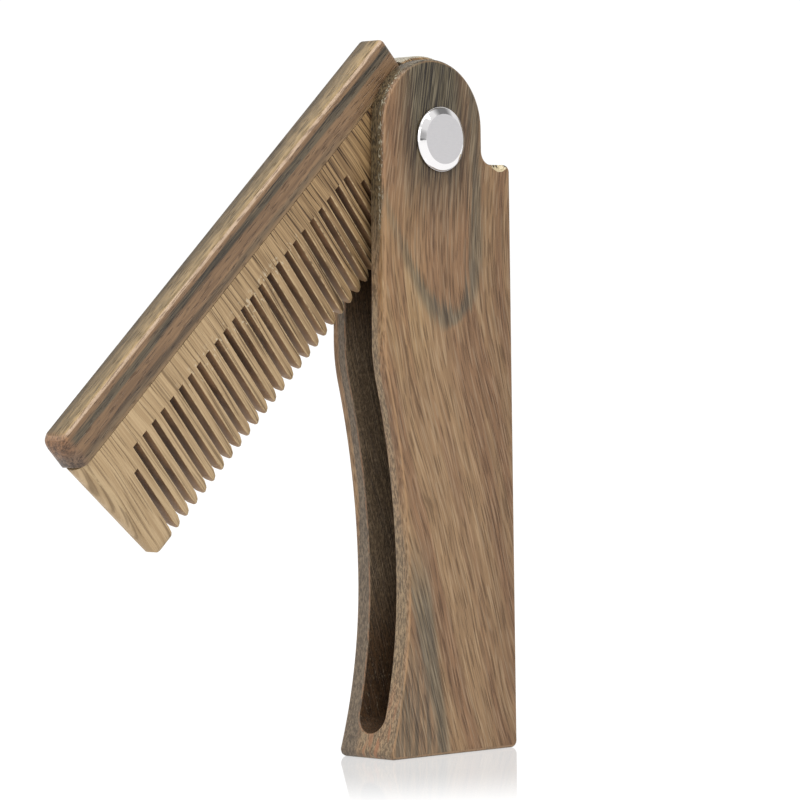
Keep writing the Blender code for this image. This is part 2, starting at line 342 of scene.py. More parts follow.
def make_handle():
    item = prism("comb_handle", [handle_outline()], HANDLE_THICKNESS / 2)
    round_edges(item, EDGE_ROUND, 6, handle_edge_weight)
    cut(item, slot_channel())
    swing = prism("swing_room", [without_repeats(arc(0, 0, SWING_RADIUS, 0, 360, 128))], SLOT_WIDTH / 2)
    swing.location.z = PIVOT_HEIGHT * MM
    cut(item, swing)
    hole = prism("handle_hole", [without_repeats(arc(0, 0, HOLE_RADIUS, 0, 360, 48))],
                 HANDLE_THICKNESS / 2 + CUT_MARGIN)
    hole.location.z = PIVOT_HEIGHT * MM
    cut(item, hole)
    settle(item)
    round_cut_edges(item, MOUTH_ROUND, 3, on_slot_mouth)
    cut(item, scoop_cutter())
    settle(item)
    outline = handle_outline()

    def slot_share(point):
        if abs(point.y) > SLOT_WIDTH / 2 + MOUTH_ROUND + 0.02:
            return 0.0
        return min(1.0, depth_inside(outline, point.x, point.z) / MOUTH_ROUND)

    def rim_share(point):
        """1 on the narrow sides, 0 on the wide faces, and in between round the arris."""
        out = abs(point.y) - HANDLE_THICKNESS / 2 + EDGE_ROUND
        if out <= 0.01:
            return 1.0
        inward = max(EDGE_ROUND - depth_inside(outline, point.x, point.z), 0.0)
        return 1.0 - math.atan2(out, inward) / (math.pi / 2)

    paint_faces(item, "scoop", in_scoop)
    paint_points(item, "slot", slot_share)
    paint_points(item, "rim", rim_share)
    shade(item)
    return item


def make_rivet():
    seat = HANDLE_THICKNESS / 2 + CAP_GAP
    face = HANDLE_THICKNESS / 2 + CAP_HEIGHT
    rim = face - (CAP_RADIUS - CAP_FACE_RADIUS) * 0.75
    side = [(SHANK_RADIUS, seat), (CAP_RADIUS - 0.06, seat), (CAP_RADIUS, seat + 0.06), (CAP_RADIUS, rim - 0.05)]
    side += [(CAP_RADIUS - 0.04, rim + 0.05), (CAP_RADIUS - 0.2, rim + 0.3)]
    side += [(CAP_FACE_RADIUS + 0.12, face - 0.06), (CAP_FACE_RADIUS, face), (0.0, face)]
    profile = [(radius, -y) for radius, y in reversed(side)] + side
    item = lathe("rivet", profile, 128)
    item.data.transform(Matrix.Translation((0.0, 0.0, PIVOT_HEIGHT * MM)))
    item.data.shade_smooth()
    item.data.set_sharp_from_angle(angle=math.radians(24.0))
    return item


def comb_matrix():
    """From the comb's own frame to the CAD model's."""
    turn = Matrix.Rotation(math.pi / 2 + OPEN_ANGLE, 4, "Y")
    return Matrix.Translation((0.0, 0.0, PIVOT_HEIGHT * MM)) @ turn


def make_spine():
    lower = JOINT_Z - SEEN_GLUE_GAP / 2
    outline = [(SPINE_START, lower), (SPINE_START, SPINE_BACK), (SPINE_END, SPINE_BACK), (SPINE_END, lower)]
    item = prism("spine", [outline], COMB_THICKNESS / 2)

    def weight(start, end):
        on_glue_face = min(start.z, end.z) > lower - 0.1
        on_free_end = min(start.x, end.x) > SPINE_END - 0.1
        if on_free_end:
            return SPINE_ROUND / SPINE_END_ROUND if on_glue_face else 1.0
        return 0.0 if on_glue_face else SPINE_ROUND / SPINE_END_ROUND

    round_edges(item, SPINE_END_ROUND, 8, weight)
    settle(item)
    shade(item)
    return item


def plate_outline():
    top = JOINT_Z + SEEN_GLUE_GAP / 2
    pocket_x = SPINE_START - GLUE_GAP
    tang_start = math.degrees(math.acos((pocket_x - TANG_CENTRE_X) / TANG_RADIUS))
    tang_end = 180 + math.degrees(math.asin((TANG_FRONT - TANG_CENTRE_Z) / TANG_RADIUS))
    points = [(PLATE_END, top), (pocket_x, top)]
    points += arc(TANG_CENTRE_X, TANG_CENTRE_Z, TANG_RADIUS, -tang_start, -tang_end, 64)
    points += [(TANG_FRONT_END, TANG_FRONT), (NEAR_GUARD_X, TIP_Z), (PLATE_END_TIP, TIP_Z)]
    return without_repeats(points)


def corner_cutter():
    lean = math.atan2(PLATE_END - PLATE_END_TIP, TIP_Z - JOINT_Z)
    centre_x = PLATE_END_TIP - END_CORNER * (1 - math.sin(lean)) / math.cos(lean)
    points = arc(centre_x, TIP_Z - END_CORNER, END_CORNER, 90, math.degrees(lean), 12)
    far_x = PLATE_END_TIP + CUT_MARGIN
    open_z = TIP_Z + CUT_MARGIN
    points += [(far_x, points[-1][1]), (far_x, open_z), (centre_x, open_z)]
    return prism("corner_cutter", [points], COMB_THICKNESS)


def plate_edge_weight(start, end):
    along_face = abs(start.y - end.y) < 0.1
    on_tang = all(math.hypot(point.x - TANG_CENTRE_X, point.z - TANG_CENTRE_Z) > TANG_RADIUS - 0.1
                  for point in (start, end))
    near_rivet = max(start.x, end.x) < TANG_FRONT_END + 0.1
    on_free_end = min(start.x, end.x) > FIRST_GAP_X + TOOTH_GAP + TIP_FLARE
    if along_face and on_free_end:
        return 1.0
    return RIM_ROUND / PLATE_END_ROUND if along_face and on_tang and near_rivet else 0.0


def tooth_gaps():
    outlines = []
    for index in range(SLOT_COUNT):
        left = FIRST_GAP_X - index * TOOTH_PITCH
        right = left + TOOTH_GAP
        top = SHORT_GAP_TOP if index in (0, SLOT_COUNT - 1) else GAP_TOP
        open_z = TIP_Z + CUT_MARGIN
        right_flare = GUARD_FLARE if index == 0 else TIP_FLARE
        outlines.append([
            (left, top), (right, top), (right, TIP_START), (right + right_flare * 0.4, TIP_START + 0.9),
            (right + right_flare, TIP_Z), (right + right_flare, open_z), (left - TIP_FLARE, open_z),
            (left - TIP_FLARE, TIP_Z), (left - TIP_FLARE * 0.4, TIP_START + 0.9), (left, TIP_START),
        ])
    return prism("tooth_gaps", outlines, COMB_THICKNESS)


def taper_cutters():
    half = COMB_THICKNESS / 2
    tip_half = TIP_THICKNESS / 2
    outer = half + CUT_MARGIN
    section = [(outer, GAP_TOP), (half, GAP_TOP), (tip_half, TIP_START), (tip_half * 0.75, TIP_Z - 0.5),
               (tip_half * 0.3, TIP_Z + 0.1), (tip_half * 0.3, TIP_Z + CUT_MARGIN),
               (outer, TIP_Z + CUT_MARGIN)]
    sections = [[(side * y, z) for y, z in section] for side in (-1, 1)]
    return run_along_x("tooth_taper", sections, NEAR_GUARD_X + 0.05, SPINE_END + CUT_MARGIN)


def on_tooth_arris(start, end):
    """True for the long edges of the teeth, and the edges of their tips."""
    if max(abs(start.y), abs(end.y)) < 0.2 or min(start.z, end.z) < GAP_TOP - 0.05:
        return False
    if min(start.x, end.x) < NEAR_GUARD_X + 1.0 or max(start.x, end.x) > FIRST_GAP_X + TOOTH_GAP + 1.0:
        return False
    return abs(start.z - end.z) > 0.3 and abs(start.y - end.y) < abs(start.z - end.z)


def make_tooth_plate():
    item = prism("teeth", [plate_outline()], COMB_THICKNESS / 2)
    round_edges(item, PLATE_END_ROUND, 6, plate_edge_weight)
    cut(item, taper_cutters())
    cut(item, corner_cutter())
    cut(item, tooth_gaps())
    cut(item, prism("plate_hole", [without_repeats(arc(0, 0, HOLE_RADIUS, 0, 360, 48))], COMB_THICKNESS))
    settle(item)
    round_cut_edges(item, TOOTH_ROUND, 2, on_tooth_arris)

    # 1 on the teeth's flanks in the gaps, which the material darkens with painted shade.
    def flank_share(centre, normal):
        in_gap = centre.z > GAP_TOP - 0.1 and FIRST_GAP_X + 2 * TOOTH_GAP > centre.x > NEAR_GUARD_X + 1.0
        return min(1.0, max(0.0, (abs(normal.x) - 0.6) * 4.0)) if in_gap else 0.0

    # 1 on the rounded arrises of the teeth, which the material paints paler: partly wear, partly a painted highlight.
    def wear_and_highlight_share(centre, normal):
        on_teeth = centre.z > GAP_TOP - 0.1 and centre.x > NEAR_GUARD_X + 1.0
        return 1.0 if on_teeth and 0.2 < abs(normal.x) < 0.75 and abs(normal.y) > 0.3 else 0.0

    def tang_share(centre, normal):
        away = math.hypot(centre.x - TANG_CENTRE_X, centre.z - TANG_CENTRE_Z)
        return 1.0 if away > TANG_RADIUS - 0.3 and centre.x < NEAR_GUARD_X and abs(normal.y) < 0.9 else 0.0

    paint_faces(item, "flank", flank_share)
    paint_faces(item, "wear_and_highlight", wear_and_highlight_share)
    paint_faces(item, "tang", tang_share)
    shade(item)
    return item


# Materials


class Nodes:
    """A short way to write a material's nodes: each call adds one and returns its first output."""

    def __init__(self, name):
        self.material = bpy.data.materials.new(name)
        self.material.use_nodes = True
        self.tree = self.material.node_tree
        self.shader = self.tree.nodes["Principled BSDF"]

    def give(self, socket, value):
        if isinstance(value, bpy.types.NodeSocket):
            self.tree.links.new(value, socket)
        elif value is not None:
            socket.default_value = value

    def node(self, kind, **settings):
        item = self.tree.nodes.new(kind)
        for key, value in settings.items():
            setattr(item, key, value)
        return item

    def math(self, operation, a, b=None, c=None):
        item = self.node("ShaderNodeMath", operation=operation)
        for socket, value in zip(item.inputs, (a, b, c)):
            self.give(socket, value)
        return item.outputs[0]

    def clamp01(self, a):
        item = self.node("ShaderNodeMath", operation="ADD", use_clamp=True)
        self.give(item.inputs[0], a)
        item.inputs[1].default_value = 0.0
        return item.outputs[0]

    def add(self, a, b):
        return self.math("ADD", a, b)

    def sub(self, a, b):
        return self.math("SUBTRACT", a, b)

    def mul(self, a, b):
        return self.math("MULTIPLY", a, b)

    def split(self, vector):
        item = self.node("ShaderNodeSeparateXYZ")
        self.give(item.inputs[0], vector)
        return item.outputs

    def join(self, x, y, z):
        item = self.node("ShaderNodeCombineXYZ")
        for socket, value in zip(item.inputs, (x, y, z)):
            self.give(socket, value)
        return item.outputs[0]

    def place(self):
        """The point in millimetres in the piece's own frame."""
        item = self.node("ShaderNodeVectorMath", operation="SCALE")
        self.tree.links.new(self.node("ShaderNodeTexCoord").outputs["Object"], item.inputs[0])
        item.inputs["Scale"].default_value = 1.0 / MM
        return self.split(item.outputs[0])

    def noise(self, vector, scale=1.0, detail=2.0, rough=0.5, distortion=0.0):
        item = self.node("ShaderNodeTexNoise")
        self.give(item.inputs["Vector"], vector)
        item.inputs["Scale"].default_value = scale
        item.inputs["Detail"].default_value = detail
        item.inputs["Roughness"].default_value = rough
        item.inputs["Distortion"].default_value = distortion
        return item.outputs["Fac"]

    def smooth(self, value, low, high, to_low=0.0, to_high=1.0):
        """A smooth step from to_low at low to to_high at high."""
        item = self.node("ShaderNodeMapRange", interpolation_type="SMOOTHSTEP")
        for socket, given in zip(item.inputs, (value, low, high, to_low, to_high)):
            self.give(socket, given)
        return item.outputs[0]

    def mix(self, share, a, b):
        item = self.node("ShaderNodeMix", data_type="RGBA")
        self.give(item.inputs["Factor"], share)
        self.give(item.inputs["A"], a)
        self.give(item.inputs["B"], b)
        return item.outputs["Result"]

    def tint(self, share, a, b, blend):
        item = self.node("ShaderNodeMix", data_type="RGBA", blend_type=blend)
        self.give(item.inputs["Factor"], share)
        self.give(item.inputs["A"], a)
        self.give(item.inputs["B"], b)
        return item.outputs["Result"]

    def bump(self, height, distance, strength=1.0):
        item = self.node("ShaderNodeBump")
        item.inputs["Strength"].default_value = strength
        item.inputs["Distance"].default_value = distance * MM
        self.give(item.inputs["Height"], height)
        return item.outputs[0]


def srgb(red, green, blue):
    """A colour from 0 to 255 as linear values."""
    linear = [(value / 255 / 12.92) if value <= 10 else ((value / 255 + 0.055) / 1.055) ** 2.4
              for value in (red, green, blue)]
    return (*linear, 1.0)


def comb_place(build):
    """The point in millimetres in the comb's own frame: along it, through it, towards the tips."""
    point = build.node("ShaderNodeTexCoord").outputs["Object"]
    turned = build.node("ShaderNodeVectorRotate", rotation_type="Y_AXIS")
    build.give(turned.inputs["Vector"], point)
    turned.inputs["Center"].default_value = (0.0, 0.0, PIVOT_HEIGHT * MM)
    turned.inputs["Angle"].default_value = -(math.pi / 2 + OPEN_ANGLE)
    moved = build.node("ShaderNodeVectorMath", operation="SUBTRACT")
    build.give(moved.inputs[0], turned.outputs[0])
    moved.inputs[1].default_value = (0.0, 0.0, PIVOT_HEIGHT * MM)
    scaled = build.node("ShaderNodeVectorMath", operation="SCALE")
    build.give(scaled.inputs[0], moved.outputs[0])
    scaled.inputs["Scale"].default_value = 1.0 / MM
    return build.split(scaled.outputs[0])


def fibres(build, across, through, along, width, length, detail=2.0, rough=0.5, shift=0.0, spread=1.0):
    """Noise drawn out along the wood's fibres, in millimetres; spread widens it through the piece."""
    point = build.join(build.mul(across, 1.0 / width), build.mul(through, 1.0 / (width * spread)),
                       build.math("MULTIPLY_ADD", along, 1.0 / length, shift))
    return build.noise(point, detail=detail, rough=rough)


def attribute(build, name):
    item = build.node("ShaderNodeAttribute", attribute_name=name, attribute_type="GEOMETRY")
    return item.outputs["Fac"]


def finish_wood(build, colour, pores, streak, roughness, depth):
    """Colour, gloss and pore relief of oiled, sanded wood."""
    shader = build.shader
    build.give(shader.inputs["Base Color"], colour)
    rough = build.math("MULTIPLY_ADD", pores, 0.16, roughness)
    build.give(shader.inputs["Roughness"], build.math("MULTIPLY_ADD", streak, 0.08, rough))
    relief = build.sub(build.mul(streak, 0.35), pores)
    build.give(shader.inputs["Normal"], build.bump(relief, depth))
    shader.inputs["Specular IOR Level"].default_value = 0.35


GAIN = (0.64, 0.62, 0.55)


def wood_colour(red, green, blue):
    """A colour as seen in the white room, taken down to the wood's own."""
    return (*[value * gain for value, gain in zip(srgb(red, green, blue), GAIN)], 1.0)


def band(build, value, low, high, soft):
    """1 between low and high, falling to 0 over soft on both sides."""
    return build.mul(build.smooth(value, low - soft, low), build.smooth(value, high + soft, high))


def handle_material():
    """Flat-sawn sandalwood: a dark arch on the wide face, leaning fibres, grey speckled narrow sides."""
    build = Nodes("handle_wood")
    x, y, z = build.place()
    below = build.sub(98.0, z)
    share = build.clamp01(build.mul(below, 1.0 / 43.0))
    cube = build.math("POWER", share, 3.0)
    eased = build.mul(cube, build.math("MULTIPLY_ADD", share, -0.5, 1.0))
    low_lean = build.mul(build.math("MAXIMUM", build.sub(below, 43.0), 0.0), 0.46)
    lean = build.add(build.mul(eased, 0.46 * 43.0), low_lean)
    wander = build.noise(build.join(build.mul(x, 0.11), build.mul(y, 0.11), build.mul(z, 0.035)), detail=1.0)
    across = build.sub(build.math("MULTIPLY_ADD", below, 0.16, x), lean)
    across = build.math("MULTIPLY_ADD", wander, 2.2, across)

    fine = fibres(build, across, y, z, 0.24, 6.0, detail=2.0, rough=0.6)
    dash = fibres(build, across, y, z, 0.24, 4.2, detail=0.0, shift=7.0)
    ray = fibres(build, across, y, z, 0.29, 15.0, detail=1.0, rough=0.6, shift=19.0)
    streak = fibres(build, across, y, z, 0.62, 21.0, detail=3.0, rough=0.62, shift=3.0)
    tone = fibres(build, across, y, z, 3.4, 52.0, detail=2.0, shift=11.0)
    speck = build.noise(build.join(build.mul(x, 3.2), build.mul(y, 3.6), build.mul(z, 1.4)), detail=2.0, rough=0.65)
    pores = build.smooth(dash, 0.60, 0.72)
    glints = build.smooth(dash, 0.42, 0.28)

    # The arch: how far outside it a point is, from its left and its right arm
    lift = build.math("MULTIPLY_ADD", y, 0.35, 69.0 + 0.35 * 6.1)
    rise = build.sub(z, lift)
    left_run = build.math("MAXIMUM", build.sub(2.8, x), 0.0)
    left = build.sub(build.mul(build.math("POWER", left_run, 1.87), 0.125), rise)
    left = build.mul(left, 0.72)
    bend = build.math("EXPONENT", build.mul(build.math("MAXIMUM", rise, -6.0), -0.31))
    right = build.sub(x, build.math("MULTIPLY_ADD", bend, -4.7, 7.5))
    outside = build.node("ShaderNodeMath", operation="SMOOTH_MAX")
    build.give(outside.inputs[0], left)
    build.give(outside.inputs[1], right)
    outside.inputs[2].default_value = 1.2
    outside = outside.outputs[0]
    ragged = build.add(build.math("MULTIPLY_ADD", streak, 4.2, -2.1), build.math("MULTIPLY_ADD", fine, 2.0, -1.0))
    edge = build.add(outside, ragged)
    arch = build.smooth(build.math("ABSOLUTE", build.sub(edge, 0.2)), 2.3, 0.3)
    inside = build.smooth(edge, 0.4, -1.8)

    # The grey heel streak
    heel = build.math("ABSOLUTE", build.add(build.math("MULTIPLY_ADD", z, 0.18, x), build.math("MULTIPLY_ADD", ragged, 0.5, 0.7)))
    heel = build.sub(heel, build.mul(z, 0.05))
    heel = build.mul(build.smooth(heel, 1.9, 0.1), build.smooth(z, 38.0, 22.0))

    # The dark crown round the rivet
    crown_side = build.add(build.math("ABSOLUTE", build.add(x, 1.0)), build.mul(ragged, 0.9))
    crown = build.mul(build.smooth(build.add(z, build.mul(ragged, 2.4)), 80.0, 98.0), build.smooth(crown_side, 10.0, 3.6))

    thread = build.smooth(build.add(build.mul(streak, 0.6), build.mul(fine, 0.4)), 0.36, 0.62)
    tan = build.mix(thread, wood_colour(174, 142, 109), wood_colour(153, 122, 92))
    red = build.mix(thread, wood_colour(160, 123, 93), wood_colour(136, 104, 78))
    colour = build.mix(build.smooth(tone, 0.42, 0.60), tan, red)
    colour = build.mix(build.mul(inside, 0.85), colour, red)
    grey = build.mix(thread, wood_colour(134, 120, 100), wood_colour(84, 78, 70))
    colour = build.mix(build.mul(arch, build.smooth(x, -11.0, -3.0, 0.4, 0.82)), colour, grey)
    dull = build.mul(build.smooth(build.add(build.math("MULTIPLY_ADD", z, 0.12, x), ragged), 1.0, -2.5),
                     build.smooth(z, 26.0, 8.0))
    upright = fibres(build, build.math("MULTIPLY_ADD", wander, 1.6, x), y, z, 0.42, 9.0, detail=2.0, rough=0.6, shift=23.0)
    heel_wood = build.mix(build.smooth(upright, 0.38, 0.60), wood_colour(158, 130, 104), wood_colour(100, 90, 78))
    colour = build.mix(build.mul(dull, 0.75), colour, heel_wood)
    colour = build.mix(build.mul(heel, 0.85), colour, grey)
    olive = build.mix(build.smooth(build.add(build.mul(streak, 0.3), build.mul(ray, 0.7)), 0.42, 0.57),
                      wood_colour(104, 95, 77), wood_colour(31, 28, 24))
    colour = build.mix(build.mul(crown, 0.97), colour, olive)
    # Painted shade: the colour darkens towards the handle's right side, from x 4 to 12 mm.
    colour = build.tint(build.smooth(x, 4.0, 12.0, 0.0, 0.45), colour, (0.66, 0.61, 0.57, 1.0), "MULTIPLY")
    colour = build.tint(build.mul(pores, 0.42), colour, wood_colour(120, 95, 74), "MULTIPLY")
    bright = build.mul(build.smooth(x, -1.0, -6.0), band(build, z, 66.0, 84.0, 10.0))
    colour = build.tint(bright, colour, (1.14, 1.17, 1.12, 1.0), "MULTIPLY")
    lines = build.mul(build.smooth(ray, 0.54, 0.66), build.sub(1.0, crown))
    colour = build.tint(build.mul(lines, 0.28), colour, wood_colour(120, 98, 80), "MULTIPLY")
    colour = build.tint(build.mul(glints, 0.09), colour, wood_colour(255, 240, 215), "SCREEN")

    # The narrow sides: speckled, olive and dark round the tab, greyer low down and on the back
    rim = attribute(build, "rim")
    on_tab = build.smooth(z, 72.0, 92.0)
    rough_speck = build.smooth(build.add(build.mul(speck, 0.65), build.mul(fine, 0.35)), 0.38, 0.60)
    low_speck = build.noise(build.join(build.mul(x, 3.4), build.mul(y, 3.8), build.mul(z, 0.95)), detail=3.0, rough=0.7)
    low_rim = build.mix(build.smooth(low_speck, 0.40, 0.60), wood_colour(178, 150, 122), wood_colour(112, 92, 74))
    rust = build.noise(build.join(build.mul(x, 0.5), build.mul(y, 1.1), build.mul(z, 0.16)), detail=1.0)
    rust = build.mul(build.smooth(rust, 0.50, 0.60), build.smooth(z, 14.0, 3.0))
    low_rim = build.mix(build.mul(rust, 0.7), low_rim, wood_colour(172, 122, 92))
    patch = build.smooth(build.noise(build.join(build.mul(x, 0.2), build.mul(y, 0.45), build.mul(z, 0.06))), 0.42, 0.58)
    low_rim = build.tint(build.mul(patch, 0.6), low_rim, (0.86, 0.96, 1.0, 1.0), "MULTIPLY")
    tab_rim = build.mix(rough_speck, wood_colour(120, 104, 80), wood_colour(52, 42, 28))
    rim_colour = build.mix(on_tab, low_rim, tab_rim)
    back_rim = build.mix(rough_speck, wood_colour(140, 124, 108), wood_colour(96, 84, 74))
    rim_colour = build.mix(build.mul(build.smooth(y, 1.0, 3.0), build.smooth(z, 96.0, 80.0)), rim_colour, back_rim)
    aside = build.math("ABSOLUTE", y)
    # Pale specks beside the arris on the tab's narrow sides: partly the wood's own pale specks, partly painted
    # end-grain highlights.
    pale = build.mul(build.smooth(speck, 0.54, 0.62), build.mul(band(build, aside, 5.0, 5.75, 0.3), on_tab))
    rim_colour = build.mix(build.mul(pale, 0.8), rim_colour, wood_colour(205, 198, 182))
    narrowing = band(build, z, 42.0, 74.0, 14.0)
    rim_edge = build.math("MULTIPLY_ADD", narrowing, -1.0, build.math("MULTIPLY_ADD", speck, 0.8, 5.25))
    rim_share = build.smooth(build.sub(rim_edge, aside), -0.25, 0.35)
    colour = build.mix(rim_share, colour, rim_colour)
    # A paler line along the arris of the narrow sides: partly wear, partly a painted highlight.
    wear_and_highlight = build.mul(build.smooth(build.math("ABSOLUTE", build.sub(rim, 0.36)), 0.24, 0.02),
                     build.smooth(tone, 0.30, 0.55, 0.35, 0.85))
    wear_and_highlight = build.mul(wear_and_highlight, build.smooth(on_tab, 0.0, 1.0, 0.9, 0.5))
    colour = build.mix(wear_and_highlight, colour, wood_colour(184, 148, 114))

    # The slot's mouth and inside; the inside is darkened with painted shade
    depth = attribute(build, "slot")
    slot_shade = build.mix(rough_speck, wood_colour(112, 88, 68), wood_colour(62, 48, 38))
    greyer_slot_middle = build.mix(rough_speck, wood_colour(150, 132, 112), wood_colour(84, 72, 62))
    slot_shade = build.mix(build.mul(band(build, z, 30.0, 62.0, 14.0), 0.75), slot_shade, greyer_slot_middle)
    # Painted shade: darker still towards the bottom of the slot.
    slot_shade = build.tint(build.smooth(z, 26.0, 10.0, 0.0, 0.8), slot_shade, (0.72, 0.66, 0.60, 1.0), "MULTIPLY")
    slot_shade = build.mix(build.mul(build.smooth(speck, 0.60, 0.68), 0.5), slot_shade, wood_colour(170, 150, 128))
    colour = build.mix(build.smooth(depth, 0.35, 0.9), colour, slot_shade)
    lip = build.mul(build.smooth(build.math("ABSOLUTE", build.sub(depth, 0.3)), 0.3, 0.1), build.smooth(streak, 0.4, 0.55))
    colour = build.mix(build.mul(lip, 0.7), colour, wood_colour(160, 118, 88))

    # The pale hollow at the shoulder, with painted shadow in patches along its upper edge
    shadow_patch = build.smooth(build.noise(build.join(build.mul(x, 0.75), 0.0, 4.0), detail=1.0), 0.46, 0.52)
    upper_edge_shadow = build.mul(build.smooth(build.math("MULTIPLY_ADD", speck, 0.8, z), 93.35, 93.75), shadow_patch)
    fresh = build.mix(build.smooth(speck, 0.35, 0.65), wood_colour(238, 226, 198), wood_colour(196, 178, 146))
    fresh = build.mix(upper_edge_shadow, fresh, wood_colour(52, 46, 38))
    colour = build.mix(attribute(build, "scoop"), colour, fresh)
    finish_wood(build, colour, pores, thread, 0.40, 0.05)
    return build.material


def spine_material():
    """Darker wood with its fibres along the spine: bands of grey and red run its whole length."""
    build = Nodes("spine_wood")
    along, through, up = comb_place(build)
    sway = build.noise(build.join(build.mul(along, 0.05), build.mul(through, 0.2), build.mul(up, 0.2)), detail=1.0)
    level = build.math("MULTIPLY_ADD", sway, 0.7, build.sub(up, 0.35))
    fine = fibres(build, level, through, along, 0.2, 5.0, detail=2.0, rough=0.6)
    dash = fibres(build, level, through, along, 0.22, 2.0, detail=0.0, shift=9.0)
    streak = fibres(build, level, through, along, 0.6, 26.0, detail=3.0, rough=0.6, shift=5.0)
    speck = build.noise(build.join(build.mul(along, 1.2), build.mul(through, 0.6), build.mul(up, 0.6)), detail=2.0)
    pores = build.smooth(dash, 0.58, 0.74)
    thread = build.smooth(build.add(build.mul(streak, 0.6), build.mul(fine, 0.4)), 0.37, 0.60)
    ragged = build.add(build.math("MULTIPLY_ADD", streak, 1.6, -0.8), build.math("MULTIPLY_ADD", fine, 1.0, -0.5))
    height = build.add(level, build.mul(ragged, 0.8))

    colour = build.mix(thread, wood_colour(154, 124, 97), wood_colour(128, 101, 79))
    grey = build.mix(thread, wood_colour(112, 101, 86), wood_colour(62, 57, 50))
    colour = build.mix(build.mul(band(build, height, -16.2, -15.4, 0.4), 0.95), colour, grey)
    foot = build.mul(band(build, height, -12.9, -12.1, 0.5), build.smooth(along, 6.0, 26.0))
    colour = build.mix(build.mul(foot, 0.6), colour, grey)
    edge_light = build.mul(build.smooth(up, -12.4, -11.9), 0.6)
    colour = build.mix(edge_light, colour, wood_colour(158, 132, 102))
    mottle = build.noise(build.join(build.mul(along, 0.35), build.mul(through, 1.6), build.mul(up, 1.6)), detail=3.0)
    back = build.mix(build.smooth(build.add(build.mul(mottle, 0.5), build.mul(streak, 0.5)), 0.40, 0.60),
                     wood_colour(184, 158, 120), wood_colour(140, 120, 88))
    # Painted shade: the back darkens towards its far edge.
    away = build.smooth(through, -2.2, 2.2)
    back = build.tint(away, back, (0.26, 0.25, 0.23, 1.0), "MULTIPLY")
    colour = build.mix(build.smooth(up, -17.4, -17.62), colour, back)
    # Painted highlight along the rounded ridge of the spine's back.
    ridge_highlight = build.mul(band(build, up, -17.5, -17.2, 0.09), build.smooth(speck, 0.30, 0.62, 0.7, 1.0))
    colour = build.mix(build.mul(ridge_highlight, 0.65), colour, wood_colour(212, 184, 160))
    # The free end: pinkish red-brown on its rounding, partly the wood and partly a painted highlight, with painted
    # grey-blue shade towards its lower corner.
    end = build.smooth(along, SPINE_END - 2.6, SPINE_END - 0.8)
    end_low_shade = build.mul(end, build.smooth(up, -15.6, -13.6))
    colour = build.mix(build.mul(end, 0.65), colour, build.mix(thread, wood_colour(182, 134, 102), wood_colour(118, 88, 70)))
    colour = build.mix(build.mul(end_low_shade, 0.6), colour, build.mix(thread, wood_colour(112, 104, 98), wood_colour(70, 66, 66)))
    colour = build.tint(build.mul(pores, 0.45), colour, wood_colour(120, 95, 74), "MULTIPLY")
    finish_wood(build, colour, pores, thread, 0.32, 0.04)
    return build.material


def tooth_material():
    """Lighter wood with fine dark lines along the teeth, paler and quieter towards the free end; the darker tone near
    the handle is partly painted shade.
    """
    build = Nodes("tooth_wood")
    along, through, up = comb_place(build)
    sway = build.noise(build.join(build.mul(along, 0.12), build.mul(through, 0.04), build.mul(up, 0.05)), detail=1.0)
    across = build.math("MULTIPLY_ADD", sway, 1.4, along)
    fine = fibres(build, across, through, up, 0.2, 8.0, detail=2.0, rough=0.6, spread=16.0)
    line = fibres(build, across, through, up, 0.26, 11.0, detail=0.0, shift=4.0, spread=16.0)
    streak = fibres(build, across, through, up, 0.6, 24.0, detail=3.0, rough=0.6, shift=8.0, spread=30.0)
    tone = fibres(build, across, through, up, 4.5, 60.0, detail=1.0, shift=1.0)
    speck = build.noise(build.join(build.mul(along, 2.0), build.mul(through, 2.0), build.mul(up, 1.2)), detail=2.0)
    thread = build.smooth(build.add(build.mul(streak, 0.5), build.mul(fine, 0.5)), 0.38, 0.60)
    pores = build.smooth(line, 0.57, 0.72)
    # Darker towards the handle: partly the wood's tone, partly painted shade.
    along_share = build.add(build.mul(along, 1.0 / 84.0), build.math("MULTIPLY_ADD", tone, 0.3, -0.15))
    far = build.smooth(along_share, 0.05, 1.0)
    pale = build.mix(thread, wood_colour(214, 187, 152), wood_colour(188, 160, 125))
    near = build.mix(thread, wood_colour(182, 151, 112), wood_colour(128, 100, 70))
    colour = build.mix(far, near, pale)
    cut_depth = build.smooth(far, 0.0, 1.0, 0.9, 0.4)
    colour = build.tint(build.mul(pores, cut_depth), colour, wood_colour(112, 88, 64), "MULTIPLY")
    scuffed = build.mul(band(build, up, -7.6, -5.2, 1.2), band(build, along, 34.0, 60.0, 6.0))
    scuffs = build.mul(build.smooth(speck, 0.57, 0.66), scuffed)
    colour = build.mix(build.mul(scuffs, 0.7), colour, wood_colour(222, 206, 184))
    # Painted shade on the teeth's flanks in the gaps, lifting towards the tips where light reaches them.
    side = build.mix(thread, wood_colour(176, 137, 104), wood_colour(118, 88, 66))
    side = build.mix(build.smooth(up, 1.0, 8.0), side, wood_colour(178, 143, 110))
    colour = build.mix(build.mul(attribute(build, "flank"), 0.9), colour, side)
    # The teeth's rounded arrises painted paler: partly wear, partly a painted highlight.
    wear_and_highlight = build.mul(attribute(build, "wear_and_highlight"), build.smooth(speck, 0.35, 0.55, 0.2, 0.8))
    colour = build.mix(wear_and_highlight, colour, wood_colour(216, 190, 154))
    pits = build.noise(build.join(build.mul(along, 3.6), build.mul(through, 3.6), build.mul(up, 3.6)), detail=2.0)
    grain_end = build.mix(build.smooth(pits, 0.40, 0.62), wood_colour(204, 200, 190), wood_colour(146, 136, 120))
    colour = build.mix(attribute(build, "tang"), colour, grain_end)
    finish_wood(build, colour, pores, thread, 0.42, 0.04)
    return build.material


